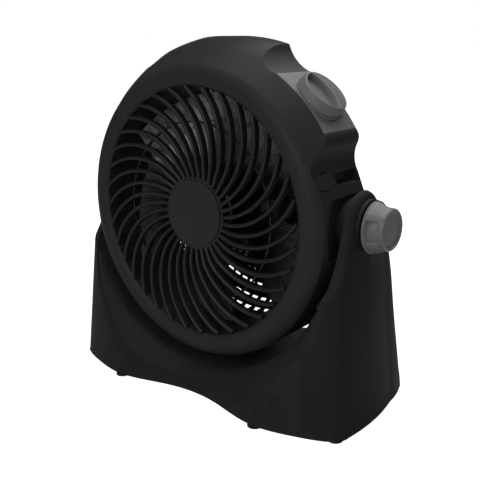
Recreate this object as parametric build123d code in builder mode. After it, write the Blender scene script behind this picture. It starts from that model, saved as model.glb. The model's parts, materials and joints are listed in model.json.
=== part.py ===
from build123d import *
from math import acos, cos, degrees, pi, radians, sin, sqrt
import os

os.makedirs("parts", exist_ok=True)

# ---------------------------------------------------------------- overall places
foot_height = 1.6  # rubber under the stand's lower edge
skin = 2.8  # moulded walls of stand and head
seat_gap = 0.2  # between a piece and the pocket it drops into
running_gap = 0.05  # radial play of a shaft in its hole

# ---------------------------------------------------------------- head outline
body_radius = 148.0
hood_height = body_radius + 21.5
hood_crown_width = 58.0  # width at which the crown's arc is measured
hood_crown_height = hood_height - 1.7
hood_half_width = 56.5
hood_corner_height = hood_height - 7.0
shoulder_hollow = (66.0, body_radius - 1.0)  # deepest place between hood and panel
panel_radius = body_radius + 11.6
panel_low_angle = 33.2
panel_high_angle = 59.3
bump_point = (body_radius - 10.8, 80.5)
bump_end = (body_radius - 11.6, 74.0)
waist_point = (body_radius - 14.4, 64.0)
waist_start = (body_radius - 10.6, 48.0)
body_top = 30.0  # height above the axis where the round body ends

through = 200.0  # half length of a cut that goes right through the object

# ---------------------------------------------------------------- head, front to back
head_front = 66.0
head_back = 13.0
opening_radius = body_radius - 23.0
opening_front = 63.0
crest_radius = opening_radius + 10.0  # foremost place of the ring round the opening
shoulder_radius = opening_radius + 20.5  # where the ring's roll passes into the cone
shoulder_front = 60.6
rim_radius = body_radius + 12.4
rim_front = 40.0
tunnel_radius = opening_radius - 5.0
tunnel_ledge = 50.0  # where the grille's rim seats
tunnel_mouth_radius = tunnel_radius + 7.5  # bellmouth at the back of the housing
mouth_length = 14.0

# ---------------------------------------------------------------- pivot
arm_gap_half = body_radius + 4.0  # inner faces of the arms
arm_top_radius = 33.0
arm_edge_radius = 9.0
arm_pad_rise = 1.7
arm_pad_radius = 25.6
arm_pad_edge = 6.0
pocket_radius = 51.0
pocket_half_height = 29.0
pocket_floor = arm_gap_half - 11.0
boss_radius = 27.0
inner_boss_radius = 14.0
inner_boss_depth = 20.0
washer_thickness = 1.6
washer_play = 0.1
stud_radius = 4.0
insert_radius = 7.0
insert_length = 12.0

side_slot_front = 26.5  # recess in the head's side over each pocket, open to the back
side_slot_low = 38.8
side_slot_high = 50.3
side_slot_depth = 4.0
groove_width = 1.1
groove_depth = 0.9
groove_path = ((38.5, 54.0), (54.5, 50.6), (55.5, 38.9), (38.5, 35.2))  # forward, above the axis

# ---------------------------------------------------------------- stand
side_half_width = arm_gap_half + 26.3
lobe_front = 87.0
rear_edge = 86.0
draft_height = 230.0
draft_width_scale = 0.889
draft_depth_scale = 0.816
scoop_radius = arm_gap_half + 8.0
saddle_height = 32.4  # lowest place of the scoop above the ground
pivot_height = saddle_height + scoop_radius  # tilt axis above the ground
lip_stations = (  # angle round the scoop, depth of the front face there, size of the lip's roll
    (0.0, 69.8, 29.0), (13.4, 76.4, 29.0), (28.3, 84.6, 29.0), (36.0, 82.2, 23.5), (45.5, 75.8, 18.0),
    (57.8, 67.0, 8.5), (66.0, 62.5, 3.6),
)
arm_pad_face = (
    side_half_width * (1 - pivot_height / draft_height * (1 - draft_width_scale)) + arm_pad_rise
)
plate_thickness = 2.6
base_screw_grip = 10.0
plate_play = 0.6
post_radius = 5.0
post_x = arm_gap_half - 34.0
post_places = ((-post_x, 30.0), (post_x, 30.0), (-post_x, -38.0), (post_x, -38.0))
screw_radius = 1.8
screw_head_height = 1.2
foot_radius = 7.5
foot_reach = 90.5  # front to back, feet stand this far from the axis
front_foot_x = 92.0
corner_foot = (side_half_width - 11.8, 57.5)
rear_foot_x = side_half_width - 50.3

# ---------------------------------------------------------------- front grille
bar_count = 36
bar_width = 2.2
bar_front = 66.0
bar_depth = 8.0
bar_arc_radius = 74.6
bar_arc_offset = 80.2  # bar's arc centre from the axis
bar_arc_angle = 69.7
hub_radius = 36.6
hub_front = 63.0
hub_collar_wall = 2.6
hub_collar_depth = 8.0
hub_cap_radius = 33.6
hub_cap_thickness = 1.8
support_ring_radius = 90.0
support_ring_width = 1.8
support_ring_depth = 4.0
rim_wall = 0.8  # thinnest place of the grille's rim

# ---------------------------------------------------------------- impeller
blade_count = 5
blade_tip_radius = tunnel_radius - 4.0
blade_front = 45.0
blade_back = 10.0
blade_thickness = 2.0
blade_camber = 4.0
blade_rest_angle = -17.0
blade_sections = (  # distance from the axis, reach of the leading and the trailing edge
    (26.0, 21.0, 21.0), (60.0, 27.0, 56.0), (95.0, 31.0, 81.0), (blade_tip_radius + 2, 33.5, 90.0),
)
rotor_hub_radius = 34.0
rotor_hub_front = 46.0
rotor_hub_back = 8.0
rotor_hub_wall = 2.5
rotor_nose_round = 8.0
rotor_boss_radius = 9.0
shaft_radius = 4.0
shaft_front = 52.0
nut_size = 6.5
nut_height = 4.0

# ---------------------------------------------------------------- motor
motor_radius = 46.0
bell_cavity_radius = 36.5
bell_wall = 3.0
front_bell_face = 4.0
stator_front = 16.0
stator_back = 38.0
rear_bell_face = 52.0
bearing_radius = 9.0
bearing_length = 5.0
bearing_boss_radius = 12.0
bearing_boss_length = 6.0
rotor_radius = 22.0
air_gap = 0.3
winding_inner = 25.0
winding_outer = 34.0
front_winding_length = 8.0
rear_winding_length = 9.0
motor_screw_circle = 41.0
motor_screw_count = 4
motor_screw_start = 45.0
bell_slot_count = 8
bell_slot_length = 16.0
bell_slot_width = 5.0

# ---------------------------------------------------------------- rear grille
rib_count = 60
rib_width = 1.6
flange_thickness = 3.0
flange_inset = 0.8
motor_plate_radius = motor_radius + 6.0
motor_plate_thickness = 3.0
basket_profile = (  # outer line of the ribs: radius, depth behind the axis
    (tunnel_mouth_radius + 3.5, 16.0), (tunnel_mouth_radius + 1.5, 34.0),
    (tunnel_mouth_radius - 9.5, 50.0), (tunnel_mouth_radius - 27.5, 58.0),
    (motor_plate_radius - 1, 60.0),
)
basket_inward = ((5.0, 0.0), (4.8, 2.0), (3.4, 4.5), (1.2, 5.0), (0.0, 5.0))  # to the ribs' inner line
ring_places = (  # support rings of the ribs: radius, depth
    (tunnel_mouth_radius - 0.1, 25.0), (tunnel_mouth_radius - 5.5, 41.0),
    (tunnel_mouth_radius - 20, 52.4), (89.0, 56.2), (70.0, 57.0),
)
ring_width = 2.0
cover_depth = 14.0
cover_radius = motor_plate_radius - 2.0
cover_wall = 2.2
cover_bevel = 10.0
cover_bevel_depth = 6.0
gland_radius = 6.0
gland_drop = 27.0
gland_collar = 3.0
gland_taper = 12.0
cord_radius = 3.4
capacitor_size = (36.0, 18.0)
capacitor_rise = 14.0
capacitor_height = 10.0
capacitor_corner = 3.0
housing_screw_circle = body_radius - 12.0
housing_screw_angles = (32.0, 90.0, 148.0, 212.0, 270.0, 328.0)
housing_post_radius = 5.0
housing_post_length = 76.0  # posts run from the rear edge into the front wall
housing_screw_length = 26.0

# ---------------------------------------------------------------- controls
knob_angle = 46.1  # speed knob's place round the head
knob_depth = 13.0  # forward of the tilt axis
panel_thickness = 2.4
panel_seat_radius = 25.0
panel_seat_height = 0.8
speed_knob_base = 24.0
speed_knob_top = 22.4
speed_knob_height = 9.6
knob_gap = 0.3
knob_edge_radius = 1.2
knob_hollow_radius = 18.8
knob_hollow_depth = 4.5
spindle_radius = 3.0
switch_width = 26.0
switch_depth = 13.0
switch_pad = 4.0
knob_hollow_start = 1.0  # straight edge of the finger hollow, forward of the knob's axis
spindle_grip = 4.2

lock_knob_gap = 0.4
lock_neck_radius = 21.0
lock_flange_radius = 25.0
lock_flange_thickness = 2.2
lock_neck_length = 1.6
lock_body_radius = 24.0
lock_cap_radius = 19.0
lock_face = arm_pad_face + 21.6
lock_cap_dish = 15.5
lock_recess_count = 3
lock_recess_depth = 2.4
lock_recess_angle = 60.0
stud_grip = 12.0  # stud inside the knob

head_axis = Axis((0, 0, pivot_height), (0, 1, 0))
head_axial = Plane(origin=(0, 0, pivot_height), x_dir=(1, 0, 0), z_dir=(0, 0, 1))
knob_direction = Vector(cos(radians(knob_angle)), 0, sin(radians(knob_angle)))


def front_plane(depth):
    """Plane facing forward, `depth` in front of the tilt axis, centred on the head axis."""
    return Plane(origin=(0, -depth, pivot_height), x_dir=(1, 0, 0), z_dir=(0, -1, 0))


def side_plane(distance):
    """Plane facing right, centred on the tilt axis; local x runs backwards."""
    return Plane(origin=(distance, 0, pivot_height), x_dir=(0, 1, 0), z_dir=(1, 0, 0))


def radial_plane(radius):
    """Plane across the speed knob's axis, `radius` out from the head axis."""
    origin = Vector(0, -knob_depth, pivot_height) + knob_direction * radius
    return Plane(origin=origin, x_dir=(0, -1, 0), z_dir=knob_direction)


def polar(radius, angle):
    return (radius * cos(radians(angle)), radius * sin(radians(angle)))


def tube(plane, outer, inner, length):
    """Ring-shaped solid that grows from a plane along its normal."""
    with BuildPart() as ring:
        with BuildSketch(plane):
            Circle(outer)
            Circle(inner, mode=Mode.SUBTRACT)
        extrude(amount=length)
    return ring.part


def save(piece, name):
    piece.part.label = name
    export_step(piece.part, f"parts/{name}.step")


# ================================================================ stand
def stand_outline(width_scale, depth_scale):
    """Plan of the stand: two front lobes, a hollow between them and bowed sides."""
    wide = side_half_width

    def at(x, y):
        return (x * width_scale, y * depth_scale)

    with BuildLine() as half:
        front = Spline(
            at(0, -70), at(45, -77), at(92, -lobe_front), at(wide - 43.3, -79), at(wide - 8.3, -64),
            tangents=[(1, 0), (0.80, 0.60)],
        )
        corner = ThreePointArc(front @ 1, at(wide - 3.8, -58.5), at(wide - 2, -50))
        side = ThreePointArc(corner @ 1, at(wide, -12), at(wide - 6.3, 40))
        rear_side = ThreePointArc(side @ 1, at(wide - 9.3, 60), at(wide - 14.3, 76))
        rear_corner = ThreePointArc(rear_side @ 1, at(wide - 17.8, 83), at(wide - 25.3, rear_edge))
        Line(rear_corner @ 1, at(0, rear_edge))
        mirror(about=Plane.YZ)
    return half


def stand_body(lower, upper, inset):
    """Drafted block over the stand's plan between two heights, walls moved in by `inset`."""
    with BuildPart() as block:
        for height in (lower, upper):
            share = height / draft_height
            width_scale = (1 - share * (1 - draft_width_scale)) * (1 - inset / side_half_width)
            depth_scale = (1 - share * (1 - draft_depth_scale)) * (1 - inset / lobe_front)
            with BuildSketch(Plane.XY.offset(height)):
                with BuildLine():
                    add(stand_outline(width_scale, depth_scale).line)
                make_face()
        loft(ruled=True)
    return block.part


def arm_profile(inset):
    """Side view of the stand as one block across it, edges moved in by `inset`."""
    def front_edge(*points):
        return [(y + inset, z) for y, z in points]

    def rear_edge_points(*points):
        return [(y - inset, z) for y, z in points]

    with BuildPart() as block:
        with BuildSketch(side_plane(-through)):
            with BuildLine():
                top = CenterArc((0, 0), arm_top_radius - inset, 17, 143)
                front = Spline(
                    top @ 1, *front_edge((-44, -29), (-62, -58), (-73, -75), (-80.5, -93), (-88, -125)),
                    tangents=[(-0.34, -0.94), (-0.2, -0.98)],
                )
                rear = Spline(
                    top @ 0, *rear_edge_points((42, -12), (55, -40), (64, -95), (77, -155), (92, -205)),
                    tangents=[(0.29, -0.957), (0.35, -0.94)],
                )
                Polyline(front @ 1, (-110, -150), (-110, -215), rear @ 1)
            make_face()
        extrude(amount=2 * through)
    return block.part


def stand_form(lower, inset):
    """Stand without its scoop: drafted block cut to the side view, arms' outer edges rounded."""
    with BuildPart() as form:
        add(stand_body(lower, draft_height, inset))
        add(arm_profile(inset), mode=Mode.INTERSECT)
        rims = form.edges().filter_by(GeomType.BSPLINE).filter_by_position(Axis.Z, 20, draft_height)
        short_rims = rims.filter_by(lambda edge: edge.length < 0.7 * draft_height)
        fillet(short_rims, arm_edge_radius - inset)
    return form.part


def lip_section(angle, depth, roll, grow):
    """Section of what the rolled lip leaves free, on a plane through the head axis."""
    across = (sin(radians(angle)), 0, -cos(radians(angle)))
    outward = (-cos(radians(angle)), 0, -sin(radians(angle)))
    bend = max(roll - grow, 0.8)
    reach = scoop_radius + grow + bend
    centre_depth = depth - grow - bend
    with BuildSketch(Plane(origin=(0, 0, pivot_height), x_dir=across, z_dir=outward)) as section:
        with BuildLine():
            lip = ThreePointArc(
                (reach - bend, centre_depth),
                (reach - bend * cos(pi / 4), centre_depth + bend * sin(pi / 4)),
                (reach, centre_depth + bend),
            )
            Polyline(
                lip @ 1, (reach, lobe_front + 20), (scoop_radius - 8, lobe_front + 20),
                (scoop_radius - 8, centre_depth), lip @ 0,
            )
        make_face()
    return section.sketch


def scoop(grow):
    """Space that the head swings in: a trough with a rolled front lip, and the gap between the arms."""
    with BuildPart() as trough:
        with BuildSketch(front_plane(-120)):
            Circle(scoop_radius + grow)
        extrude(amount=240)
        with BuildSketch(Plane.XY):
            Rectangle(2 * (arm_gap_half + grow), 300)
        extrude(amount=2 * pivot_height + 60, mode=Mode.INTERSECT)
        with BuildSketch(Plane.XY.offset(pivot_height)):
            Rectangle(2 * (arm_gap_half + grow), 300)
        extrude(amount=80)
        for angle, depth, roll in reversed(lip_stations[1:]):
            add(lip_section(-angle, depth, roll, grow))
        for angle, depth, roll in lip_stations:
            add(lip_section(angle, depth, roll, grow))
        loft()
    return trough.part


def stand_cavity():
    """Hollow under the stand's skin, around the screw posts and the pivot bosses."""
    with BuildPart() as hollow:
        add(stand_form(foot_height - 1, skin))
        add(scoop(skin), mode=Mode.SUBTRACT)
        with BuildSketch(Plane.XY.offset(foot_height + plate_thickness)):
            with Locations(*post_places):
                Circle(post_radius)
        extrude(amount=draft_height, mode=Mode.SUBTRACT)
        with BuildSketch(side_plane(-through)):
            Circle(arm_pad_radius - arm_pad_edge)
        extrude(amount=2 * through, mode=Mode.SUBTRACT)
    return hollow.part


with BuildPart() as base_shell:
    add(stand_form(foot_height, 0))
    add(stand_cavity(), mode=Mode.SUBTRACT)
    for side in (-1, 1):
        with BuildSketch(side_plane(side * (arm_gap_half + 3))):
            Circle(arm_pad_radius)
        extrude(amount=side * (arm_pad_face - arm_gap_half - 3))
    add(scoop(0), mode=Mode.SUBTRACT)
    with BuildSketch(side_plane(-through)):
        Circle(stud_radius + running_gap)
    extrude(amount=2 * through, mode=Mode.SUBTRACT)
    with BuildSketch(Plane.XY.offset(foot_height + plate_thickness)):
        with Locations(*post_places):
            Circle(screw_radius)
    extrude(amount=14, mode=Mode.SUBTRACT)
save(base_shell, "base_shell")

with BuildPart() as base_plate:
    with BuildSketch(Plane.XY.offset(foot_height)):
        inset = skin + plate_play
        with BuildLine():
            add(stand_outline(1 - inset / side_half_width, 1 - inset / lobe_front).line)
        make_face()
        with Locations(*post_places):
            Circle(screw_radius + seat_gap, mode=Mode.SUBTRACT)
    extrude(amount=plate_thickness)
save(base_plate, "base_plate")

with BuildPart() as base_screws:
    with BuildSketch(Plane.XY.offset(foot_height)):
        with Locations(*post_places):
            Circle(2 * screw_radius)
    extrude(amount=-screw_head_height)
    with BuildSketch(Plane.XY.offset(foot_height)):
        with Locations(*post_places):
            Circle(screw_radius - running_gap)
    extrude(amount=plate_thickness + base_screw_grip)
save(base_screws, "base_screws")

with BuildPart() as feet:
    front_foot_y = foot_radius - foot_reach
    with BuildSketch(Plane.XY):
        for side in (-1, 1):
            with Locations(
                (side * front_foot_x, front_foot_y),
                (side * corner_foot[0], -corner_foot[1]),
                (side * rear_foot_x, -front_foot_y),
            ):
                Circle(foot_radius)
    extrude(amount=foot_height)
save(feet, "feet")


# ================================================================ head housing
def head_half(side):
    """Half of the head's outline: hood, hollow, shoulder, waist and round body, from the top down."""
    def at(point):
        return (side * point[0], point[1])

    body_side = (sqrt(body_radius**2 - body_top**2), body_top)
    panel_high = at(polar(panel_radius, panel_high_angle))
    panel_low = at(polar(panel_radius, panel_low_angle))
    crown = ThreePointArc(
        (0, hood_height), at((hood_crown_width / 2, hood_crown_height)),
        at((hood_half_width, hood_corner_height)),
    )
    hollow = ThreePointArc(crown @ 1, at(shoulder_hollow), panel_high)
    if side > 0:
        panel_middle = polar(panel_radius, (panel_low_angle + panel_high_angle) / 2)
        ThreePointArc(hollow @ 1, panel_middle, panel_low)
    else:
        Line(hollow @ 1, panel_low)
    bump = ThreePointArc(panel_low, at(bump_point), at(bump_end))
    waist = ThreePointArc(bump @ 1, at(waist_point), at(waist_start))
    Line(waist @ 1, at(body_side))
    ThreePointArc(at(body_side), at(polar(body_radius, -35)), (0, -body_radius))


def head_outline():
    """Head seen from the front: the panel's shoulder is round, the other one is flat."""
    with BuildLine() as outline:
        head_half(1)
        head_half(-1)
    return outline


def head_block(front, back, inset):
    """Head outline as a straight block between two depths, walls moved in by `inset`."""
    with BuildPart() as block:
        with BuildSketch(front_plane(back)):
            with BuildLine():
                add(head_outline().line)
            make_face()
            if inset > 0:
                offset(amount=-inset)
        extrude(amount=front - back)
    return block.part


def face_cone(inset):
    """Turned envelope of the head: rolled ring round the opening, cone to the rim, domed hood."""
    slope = sqrt((rim_radius - shoulder_radius) ** 2 + (shoulder_front - rim_front) ** 2)
    inward = inset * slope / (shoulder_front - rim_front)
    with BuildPart() as envelope:
        with BuildSketch(head_axial):
            with BuildLine():
                face = Line((0, inset - opening_front), (opening_radius, inset - opening_front))
                ring = ThreePointArc(
                    face @ 1, (crest_radius, inset - head_front),
                    (shoulder_radius - inset * 0.8, inset * 0.6 - shoulder_front),
                )
                cone = Line(ring @ 1, (rim_radius - inward, -rim_front))
                dome = Spline(
                    cone @ 1, (hood_height - 1.2 - inset, -20), (hood_height + 4 - inset, 20),
                    tangents=[(0.58, 0.81), (0.05, 1)],
                )
                Polyline(dome @ 1, (0, 20), face @ 0)
            make_face()
        revolve(axis=head_axis)
    return envelope.part


def tunnel(grow):
    """Air way through the head: opening, ledge for the grille's rim, throat and bellmouth."""
    with BuildPart() as way:
        with BuildSketch(head_axial):
            with BuildLine():
                throat = Polyline(
                    (0, -80), (opening_radius + grow, -80), (opening_radius + grow, -tunnel_ledge),
                    (tunnel_radius + grow, -tunnel_ledge + grow),
                    (tunnel_radius + grow, head_back - mouth_length),
                )
                mouth = ThreePointArc(
                    throat @ 1, (tunnel_radius + grow + 2.2, head_back - 5),
                    (tunnel_mouth_radius + grow, head_back),
                )
                Polyline(mouth @ 1, (tunnel_mouth_radius + grow, 30), (0, 30), (0, -80))
            make_face()
        revolve(axis=head_axis)
    return way.part


def side_pockets(grow):
    """Spaces cut into both sides of the head for the tops of the arms."""
    with BuildPart() as pockets:
        for side in (-1, 1):
            with BuildSketch(side_plane(side * (pocket_floor - grow))):
                Circle(pocket_radius + grow)
                Rectangle(300, 2 * (pocket_half_height + grow), mode=Mode.INTERSECT)
            extrude(amount=side * 60)
            with BuildSketch(side_plane(side * (pocket_floor - grow))):
                with Locations((head_back, 0)):
                    Rectangle(2 * head_back, 2 * (pocket_half_height + grow))
            extrude(amount=side * 60)
    return pockets.part


with BuildPart() as control_panel:
    with BuildSketch(front_plane(head_back * -1)):
        with BuildLine():
            outer = ThreePointArc(
                polar(panel_radius, panel_low_angle), polar(panel_radius, knob_angle),
                polar(panel_radius, panel_high_angle),
            )
            inner_radius = panel_radius - panel_thickness
            inner = ThreePointArc(
                polar(inner_radius, panel_low_angle), polar(inner_radius, knob_angle),
                polar(inner_radius, panel_high_angle),
            )
            Line(outer @ 0, inner @ 0)
            Line(outer @ 1, inner @ 1)
        make_face()
    extrude(amount=head_back + rim_front)
    with BuildSketch(radial_plane(panel_radius - panel_thickness + 0.6)):
        Circle(panel_seat_radius)
    extrude(amount=panel_thickness + panel_seat_height - 0.6)
    with BuildSketch(radial_plane(panel_radius - 20)):
        Circle(spindle_radius + 1)
    extrude(amount=40, mode=Mode.SUBTRACT)



def side_slots(grow):
    """Recesses in both sides of the head, over the pockets and open to the back."""
    floor = waist_point[0] + 2 - side_slot_depth - grow
    low = side_slot_low - grow
    high = side_slot_high + grow
    with BuildPart() as slots:
        for side in (-1, 1):
            with BuildSketch(side_plane(side * floor)):
                with Locations(((head_back - side_slot_front) / 2, (low + high) / 2)):
                    Rectangle(head_back + side_slot_front + 2 * grow, high - low)
            extrude(amount=side * 30)
    return slots.part


def latch_groove(side):
    """Seam of the latch in front of a side slot, cut along the flat between waist and body."""
    flat_top = Vector(waist_start[0], 0, waist_start[1])
    flat_foot = Vector(sqrt(body_radius**2 - body_top**2), 0, body_top)
    down = (flat_foot - flat_top).normalized()
    outward = Vector(-down.Z * side, 0, down.X)
    flat = Plane(
        origin=(side * waist_start[0], 0, pivot_height + waist_start[1]), x_dir=(0, -1, 0), z_dir=outward
    )
    upright = 1 if flat.y_dir.Z > 0 else -1
    with BuildPart() as groove:
        with BuildSketch(flat.offset(-groove_depth)):
            with BuildLine():
                Polyline(*[(depth, upright * (height - waist_start[1])) for depth, height in groove_path])
            trace(line_width=groove_width)
        extrude(amount=groove_depth + 2)
    return groove.part


def head_cavity():
    """Hollow between the head's skin and its tunnel, around bosses, posts and switch pad."""
    with BuildPart() as hollow:
        add(head_block(head_front, -head_back - 5, skin))
        add(face_cone(skin), mode=Mode.INTERSECT)
        add(tunnel(skin), mode=Mode.SUBTRACT)
        add(side_pockets(skin), mode=Mode.SUBTRACT)
        add(side_slots(skin), mode=Mode.SUBTRACT)
        with BuildSketch(side_plane(-180)):
            Circle(inner_boss_radius)
        extrude(amount=360, mode=Mode.SUBTRACT)
        with BuildSketch(front_plane(-head_back)):
            for angle in housing_screw_angles:
                with Locations(polar(housing_screw_circle, angle)):
                    Circle(housing_post_radius)
        extrude(amount=housing_post_length, mode=Mode.SUBTRACT)
        with BuildSketch(radial_plane(panel_radius - panel_thickness - skin - switch_pad)):
            Rectangle(switch_width, switch_width)
        extrude(amount=20, mode=Mode.SUBTRACT)
    return hollow.part


with BuildPart() as front_housing:
    add(head_block(head_front, -head_back, 0))
    add(face_cone(0), mode=Mode.INTERSECT)
    add(head_cavity(), mode=Mode.SUBTRACT)
    add(side_pockets(0), mode=Mode.SUBTRACT)
    add(side_slots(0), mode=Mode.SUBTRACT)
    for side in (-1, 1):
        add(latch_groove(side), mode=Mode.SUBTRACT)
        with BuildSketch(side_plane(side * pocket_floor)):
            Circle(boss_radius)
        extrude(amount=side * (arm_gap_half - washer_play - washer_thickness - pocket_floor))
    add(tunnel(0), mode=Mode.SUBTRACT)
    with BuildSketch(radial_plane(panel_radius - 30)):
        Circle(spindle_radius + 2)
    extrude(amount=40, mode=Mode.SUBTRACT)
    add(control_panel.part, mode=Mode.SUBTRACT)
    for side in (-1, 1):
        with BuildSketch(side_plane(side * (pocket_floor - 1))):
            Circle(insert_radius)
        extrude(amount=-side * insert_length, mode=Mode.SUBTRACT)
        with BuildSketch(side_plane(side * (pocket_floor - 2))):
            Circle(stud_radius + 0.4)
        extrude(amount=side * 30, mode=Mode.SUBTRACT)
    with BuildSketch(front_plane(-head_back)):
        for angle in housing_screw_angles:
            with Locations(polar(housing_screw_circle, angle)):
                Circle(screw_radius)
    extrude(amount=housing_screw_length + 2, mode=Mode.SUBTRACT)
save(control_panel, "control_panel")
save(front_housing, "front_housing")


# ================================================================ pivot hardware
with BuildPart() as pivot_inserts:
    for side in (-1, 1):
        with BuildSketch(side_plane(side * (pocket_floor - 1))):
            Circle(insert_radius - running_gap)
            Circle(stud_radius + running_gap, mode=Mode.SUBTRACT)
        extrude(amount=-side * insert_length)
save(pivot_inserts, "pivot_inserts")

with BuildPart() as friction_washers:
    for side in (-1, 1):
        with BuildSketch(side_plane(side * (arm_gap_half - washer_play - washer_thickness))):
            Circle(boss_radius - 1)
            Circle(stud_radius + 1, mode=Mode.SUBTRACT)
        extrude(amount=side * washer_thickness)
save(friction_washers, "friction_washers")


def pivot_axial(side):
    """Plane through the tilt axis for turned knobs; local y runs outwards on the given side."""
    return Plane(origin=(0, 0, pivot_height), x_dir=(0, 1, 0), z_dir=(0, 0, -side))


def lock_knob(side):
    """Lock knob: neck, thin flange, tapered grip with finger recesses and a dished cap."""
    start = arm_pad_face + lock_knob_gap
    flange_start = start + lock_neck_length
    flange_end = flange_start + lock_flange_thickness
    with BuildPart() as knob:
        with BuildSketch(pivot_axial(side)):
            with BuildLine():
                Polyline(
                    (0, start), (lock_neck_radius, start), (lock_neck_radius, flange_start),
                    (lock_flange_radius, flange_start), (lock_flange_radius, flange_end),
                    (lock_body_radius, flange_end), (lock_cap_radius + 0.6, lock_face - 2),
                    (lock_cap_radius - 1, lock_face), (lock_cap_dish + 0.5, lock_face),
                    (lock_cap_dish, lock_face - 0.7), (0, lock_face - 0.7), (0, start),
                )
            make_face()
        revolve(axis=Axis((0, 0, pivot_height), (1, 0, 0)))
        with BuildSketch(side_plane(side * flange_end)):
            for index in range(lock_recess_count):
                first = 180 - lock_recess_angle / 2 + index * 360 / lock_recess_count
                floor = lock_body_radius - lock_recess_depth
                with BuildLine():
                    outer = CenterArc((0, 0), 2 * lock_body_radius, first, lock_recess_angle)
                    inner = CenterArc((0, 0), floor, first, lock_recess_angle)
                    Line(outer @ 0, inner @ 0)
                    Line(outer @ 1, inner @ 1)
                make_face()
        extrude(amount=side * (lock_face - flange_end), mode=Mode.SUBTRACT)
        with BuildSketch(side_plane(side * start)):
            Circle(stud_radius + running_gap)
        extrude(amount=side * stud_grip, mode=Mode.SUBTRACT)
    return knob.part


def lock_bolt(side):
    """Stud that runs from the knob through the arm into the head's threaded insert."""
    inner_end = pocket_floor - insert_length
    outer_end = arm_pad_face + lock_knob_gap + stud_grip
    with BuildPart() as bolt:
        with BuildSketch(side_plane(side * inner_end)):
            Circle(stud_radius)
        extrude(amount=side * (outer_end - inner_end))
        chamfer(bolt.edges().group_by(Axis.X)[0 if side > 0 else -1], 0.8)
    return bolt.part


with BuildPart() as left_knob:
    add(lock_knob(-1))
save(left_knob, "left_knob")

with BuildPart() as right_knob:
    add(lock_knob(1))
save(right_knob, "right_knob")

with BuildPart() as left_bolt:
    add(lock_bolt(-1))
save(left_bolt, "left_bolt")

with BuildPart() as right_bolt:
    add(lock_bolt(1))
save(right_bolt, "right_bolt")


# ================================================================ front grille
def bar_point(radius):
    """Point of a bar's centre line at a distance from the head axis."""
    reach = (radius**2 + bar_arc_offset**2 - bar_arc_radius**2) / (2 * radius * bar_arc_offset)
    return polar(radius, bar_arc_angle - degrees(acos(reach)))


bar_back = bar_front - bar_depth
rim_radius_out = opening_radius - seat_gap
bar_line = ThreePointArc(
    bar_point(hub_radius - hub_collar_wall / 2),
    bar_point((hub_radius + opening_radius) / 2),
    bar_point(rim_radius_out - bar_width / 2),
)

with BuildPart() as front_grille:
    with BuildSketch(front_plane(bar_back)):
        with PolarLocations(0, bar_count):
            SlotArc(bar_line, bar_width)
    extrude(amount=bar_depth)
    with BuildSketch(front_plane(hub_front - hub_collar_depth)):
        Circle(hub_radius)
        Circle(hub_radius - hub_collar_wall, mode=Mode.SUBTRACT)
    extrude(amount=hub_collar_depth)
    with BuildSketch(front_plane(hub_front)):
        Circle(hub_radius)
    extrude(amount=-hub_collar_wall)
    with BuildSketch(front_plane(bar_back - support_ring_depth + 1)):
        Circle(support_ring_radius + support_ring_width / 2)
        Circle(support_ring_radius - support_ring_width / 2, mode=Mode.SUBTRACT)
    extrude(amount=support_ring_depth)
    with BuildSketch(head_axial):
        with BuildLine():
            Polyline(
                (rim_radius_out, -opening_front), (rim_radius_out, -tunnel_ledge),
                (tunnel_radius, -tunnel_ledge), (rim_radius_out - rim_wall, -opening_front),
                (rim_radius_out, -opening_front),
            )
        make_face()
    revolve(axis=head_axis)
save(front_grille, "front_grille")

with BuildPart() as hub_cap:
    with BuildSketch(front_plane(hub_front)):
        Circle(hub_cap_radius)
    extrude(amount=hub_cap_thickness)
    fillet(hub_cap.edges().group_by(Axis.Y)[0], hub_cap_thickness / 2)
save(hub_cap, "hub_cap")


# ================================================================ impeller
def blade_section(distance, lead, trail):
    """Cambered blade section on a plane across the blade, `distance` out from the axis."""
    middle_depth = (blade_front + blade_back) / 2
    middle_side = (lead - trail) / 2
    half = blade_thickness / 2
    with BuildSketch(side_plane(distance)) as section:
        with BuildLine():
            front_face = ThreePointArc(
                (-blade_front, lead), (blade_camber - middle_depth, middle_side - blade_camber - half),
                (-blade_back, -trail),
            )
            back_face = ThreePointArc(
                (blade_thickness - blade_front, lead),
                (blade_camber - middle_depth + half, middle_side - blade_camber + half),
                (blade_thickness - blade_back, -trail),
            )
            Line(front_face @ 0, back_face @ 0)
            Line(front_face @ 1, back_face @ 1)
        make_face()
    return section.sketch


with BuildPart() as blade:
    for distance, lead, trail in blade_sections:
        add(blade_section(distance, lead, trail))
    loft()
    with BuildSketch(front_plane(0)):
        Circle(blade_tip_radius)
    extrude(amount=2 * blade_front, mode=Mode.INTERSECT)

with BuildPart() as impeller:
    with BuildSketch(head_axial):
        with BuildLine():
            flat_radius = rotor_hub_radius - rotor_nose_round
            crown = Polyline((0, -rotor_hub_back), (0, -rotor_hub_front), (flat_radius, -rotor_hub_front))
            nose = TangentArc(
                crown @ 1, (rotor_hub_radius, rotor_nose_round - rotor_hub_front), tangent=(1, 0)
            )
            Polyline(nose @ 1, (rotor_hub_radius, -rotor_hub_back), crown @ 0)
        make_face()
    revolve(axis=head_axis)
    for index in range(blade_count):
        turn = -blade_rest_angle + index * 360 / blade_count
        add(blade.part.rotate(head_axis, turn))
    with BuildSketch(front_plane(rotor_hub_back)):
        Circle(rotor_hub_radius - rotor_hub_wall)
        Circle(rotor_boss_radius, mode=Mode.SUBTRACT)
    extrude(amount=rotor_hub_front - rotor_hub_back - 2 * rotor_hub_wall, mode=Mode.SUBTRACT)
    with BuildSketch(front_plane(0)):
        Circle(shaft_radius + running_gap)
    extrude(amount=2 * rotor_hub_front, mode=Mode.SUBTRACT)
save(impeller, "impeller")

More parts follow.
